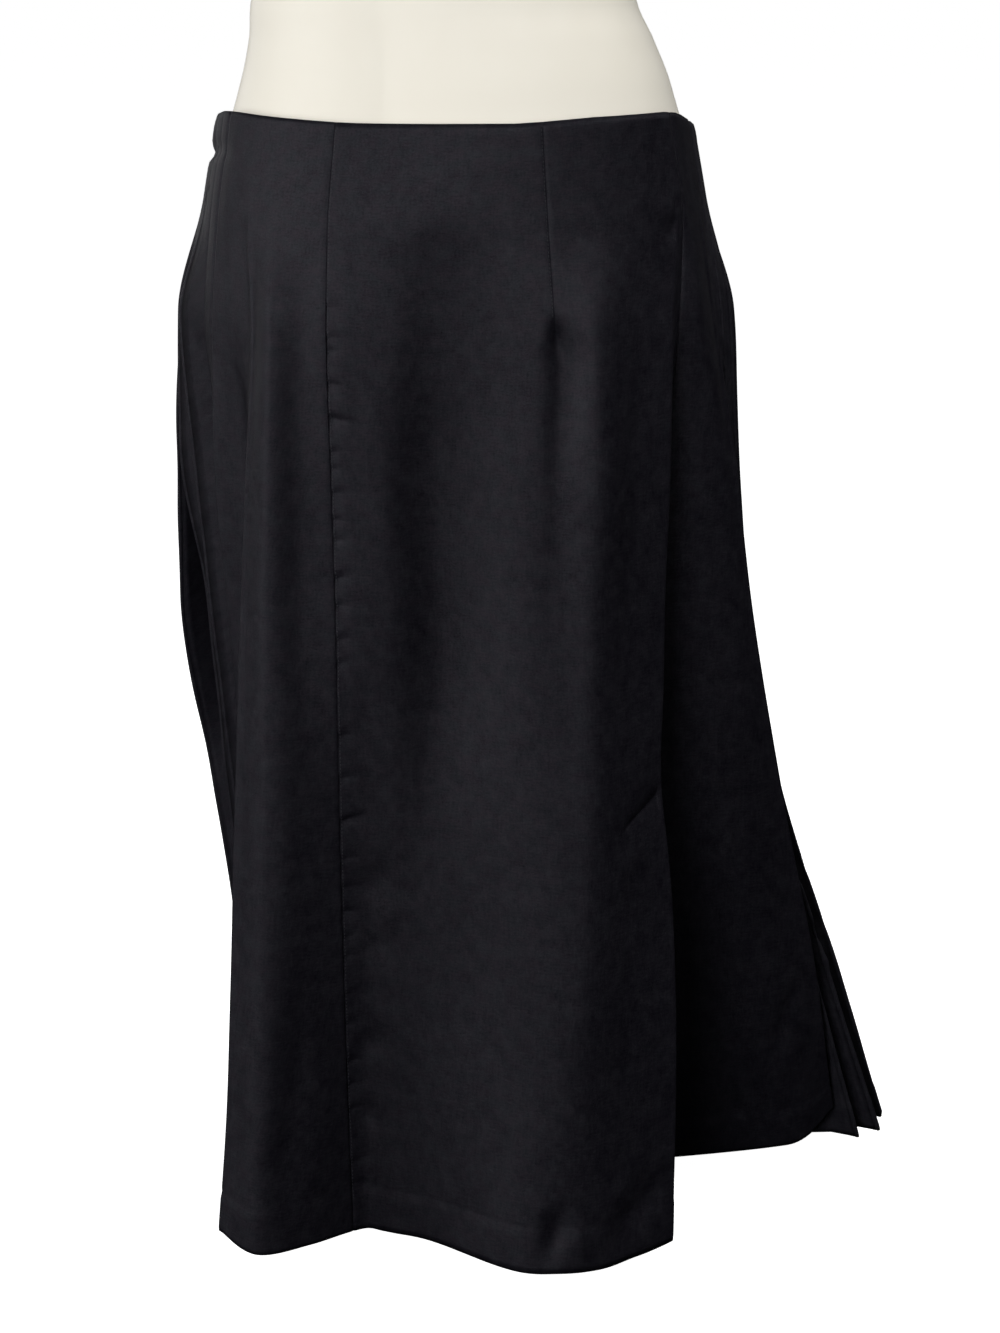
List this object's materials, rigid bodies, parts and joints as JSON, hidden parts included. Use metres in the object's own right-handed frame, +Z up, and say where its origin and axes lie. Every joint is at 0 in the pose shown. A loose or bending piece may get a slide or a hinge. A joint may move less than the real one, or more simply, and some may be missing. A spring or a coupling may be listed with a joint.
{
  "type": "pleated midi skirt on a dress form",
  "caption": "Plain-fronted midi skirt with a princess seam, a dart, a deep side fold and a sunray pleated back, hanging on a limbless hip form with a pole and a round foot.",
  "frame": {"origin": "middle of the underside of the form's round foot, on the floor", "axes": "+Z up, the skirt's front faces -Y, +X to the right of someone who looks at the front"},
  "size_m": [0.4645, 0.3713, 0.848],
  "materials": {
    "cloth": "fine smooth weave with a soft sheen",
    "form": "glossy ivory",
    "steel": "brushed"
  },
  "bodies": {
    "root": {"front_left_panel": "cloth", "front_centre_panel": "cloth", "right_side_panel": "cloth", "back_right_pleats": "cloth", "back_left_pleats": "cloth", "dress_form": "form", "form_pole": "steel", "form_base": "steel"}
  },
  "joints": []
}
